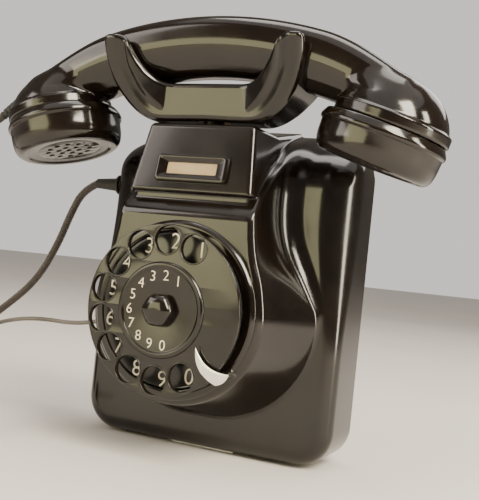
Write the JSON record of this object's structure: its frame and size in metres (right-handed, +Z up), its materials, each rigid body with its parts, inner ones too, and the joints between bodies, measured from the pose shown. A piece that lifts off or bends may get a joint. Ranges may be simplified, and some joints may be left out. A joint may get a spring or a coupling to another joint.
{
  "type": "wall telephone",
  "caption": "Wall telephone with moulded casing, rotary dial with finger holes, U-shaped cradle and an arched handset on a braided cord.",
  "frame": {"origin": "on the wall plane, on the casing's centre line, behind the upper half of the wall plate", "axes": "+X to the user's right, +Y into the wall, +Z up"},
  "size_m": [0.3749, 0.0934, 0.206],
  "materials": {
    "bakelite": "polished",
    "steel": "zinc plated",
    "chrome": "polished",
    "brass": "satin",
    "gong_metal": "polished",
    "enamel": "gloss",
    "paper": "matte",
    "window": "clear",
    "copper_coil": "varnished",
    "dark_plastic": "satin",
    "can": "satin",
    "rubber": "matte",
    "braid": "braided",
    "line_rubber": "satin"
  },
  "bodies": {
    "casing": {"housing": "bakelite", "housing_screws": "steel", "wall_plate": "steel", "bottom_latch": "steel", "label_frame": "bakelite", "label_paper": "paper", "label_window": "window", "handset_cord_grommet": "rubber", "line_cord_grommet": "rubber", "number_plate": "enamel", "dial_bezel": "bakelite", "finger_stop": "chrome", "dial_frame": "steel", "pulse_contacts": "brass", "cradle_guide": "brass", "switch_bracket": "steel", "lever_pin": "steel", "lever_spring": "steel", "hook_contacts": "brass", "gong_left": "gong_metal", "gong_right": "gong_metal", "gong_posts": "steel", "gong_screws": "steel", "ringer_frame": "steel", "ringer_coils": "copper_coil", "induction_coil": "copper_coil", "capacitor": "can", "terminal_block": "dark_plastic", "terminal_screws": "brass", "handset_cord": "braid", "handset_cord_coil": "braid", "handset_cord_riser": "braid", "line_cord": "line_rubber", "line_cord_coil": "line_rubber", "line_cord_tail": "line_rubber", "line_plug": "dark_plastic", "line_plug_pins": "chrome"},
    "dial": {"finger_wheel": "bakelite", "number_disc": "bakelite", "centre_knob": "bakelite", "dial_shaft": "steel", "main_gear": "brass", "spring_drum": "steel"},
    "pulse_wheel": {"pulse_pinion": "brass", "pulse_cam": "dark_plastic"},
    "cradle": {"cradle_fork": "bakelite", "cradle_plunger": "dark_plastic"},
    "hook_lever": {"switch_lever": "steel"},
    "clapper": {"clapper": "steel"},
    "handset": {"handset_body": "bakelite", "ear_cap": "bakelite", "mouth_cap": "bakelite", "receiver_capsule": "can", "transmitter_capsule": "can", "handset_strain_relief": "rubber"}
  },
  "joints": [
    {"name": "dial_turn", "type": "hinge", "parent": "casing", "child": "dial", "pos_m": [0, -0.083, -0.0325], "axis": [0, 1, 0], "range_deg": [0, 316], "stiffness_Nm_per_rad": 0.01, "springref_deg": -85.94},
    {"name": "pulse_turn", "type": "hinge", "parent": "casing", "child": "pulse_wheel", "pos_m": [-0.0198, -0.059, -0.0523], "axis": [0, 1, 0], "range_deg": [-950, 5]},
    {"name": "handset_lift", "type": "slide", "parent": "casing", "child": "handset", "axis": [0, 0, 1], "range_m": [0, 0.06], "deforming": ["handset_cord_riser"]},
    {"name": "cradle_rise", "type": "slide", "parent": "casing", "child": "cradle", "axis": [0, 0, 1], "range_m": [0, 0.0052]},
    {"name": "hook_lever_turn", "type": "hinge", "parent": "casing", "child": "hook_lever", "pos_m": [0, -0.02, 0.026], "axis": [-1, 0, 0], "range_deg": [0, 8], "deforming": ["lever_spring"]},
    {"name": "clapper_swing", "type": "hinge", "parent": "casing", "child": "clapper", "pos_m": [0, -0.01, -0.038], "axis": [0, 1, 0], "range_deg": [-1.2, 1.2]}
  ],
  "couplings": [
    {"joint": "pulse_turn", "follows": "dial_turn", "ratio": -3},
    {"joint": "cradle_rise", "follows": "handset_lift", "ratio": 0.083333},
    {"joint": "hook_lever_turn", "follows": "handset_lift", "rad_per_m": 2.3}
  ]
}
